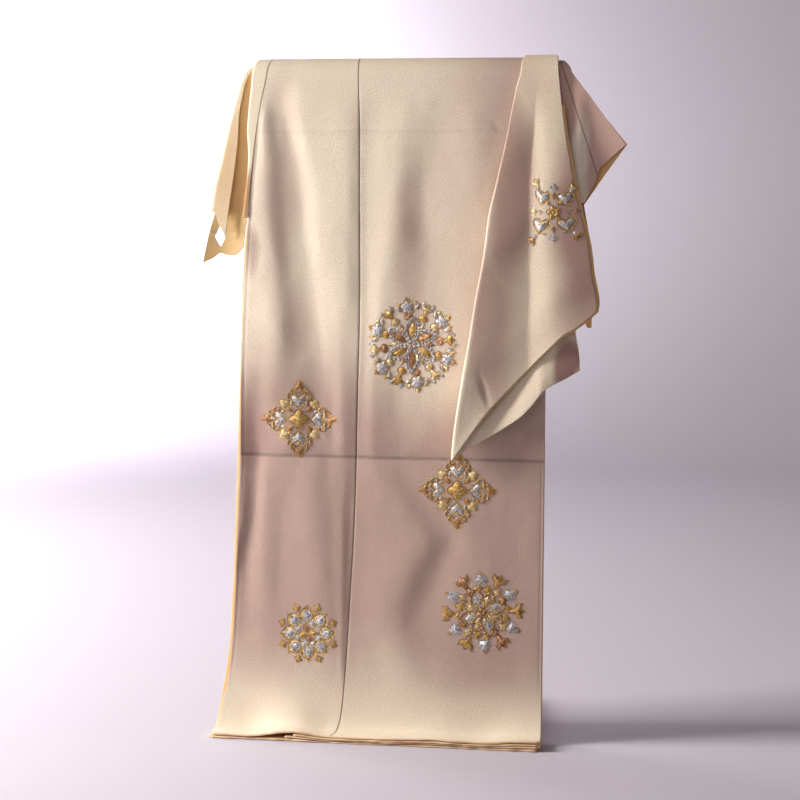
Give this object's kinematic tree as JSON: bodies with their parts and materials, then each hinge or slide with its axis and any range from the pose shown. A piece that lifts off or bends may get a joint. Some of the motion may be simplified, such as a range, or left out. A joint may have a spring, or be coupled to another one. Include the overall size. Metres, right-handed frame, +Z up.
{
  "type": "homongi kimono on a display stand",
  "caption": "Formal silk crepe robe folded lengthwise and laid over a low T-shaped wooden stand, hem forward on the table, sleeves brought over one end.",
  "frame": {"origin": "on the table, in the flat underside of the stand's foot, straight below the middle of the rail", "axes": "+X to the viewer's right along the rail, -Y towards the viewer, +Z up"},
  "size_m": [0.5805, 0.248, 0.9304],
  "materials": {
    "crepe": "silk crepe, soft sheen, shaded cream to mauve beige",
    "lining": "smooth golden silk lining",
    "embroidery": "raised metallic gold and silver thread",
    "stand_wood": "satin dark wood"
  },
  "bodies": {
    "root": {"left_okumi": "crepe", "left_front": "crepe", "back_panels": "crepe", "right_okumi": "lining", "right_front": "lining", "left_collar": "crepe", "right_collar": "crepe", "right_collar_lining": "lining", "left_sleeve": "crepe", "left_sleeve_lining": "lining", "right_sleeve_face": "crepe", "right_sleeve_inner": "lining", "stand_foot": "stand_wood", "stand_post": "stand_wood", "stand_rail": "stand_wood"}
  },
  "joints": []
}
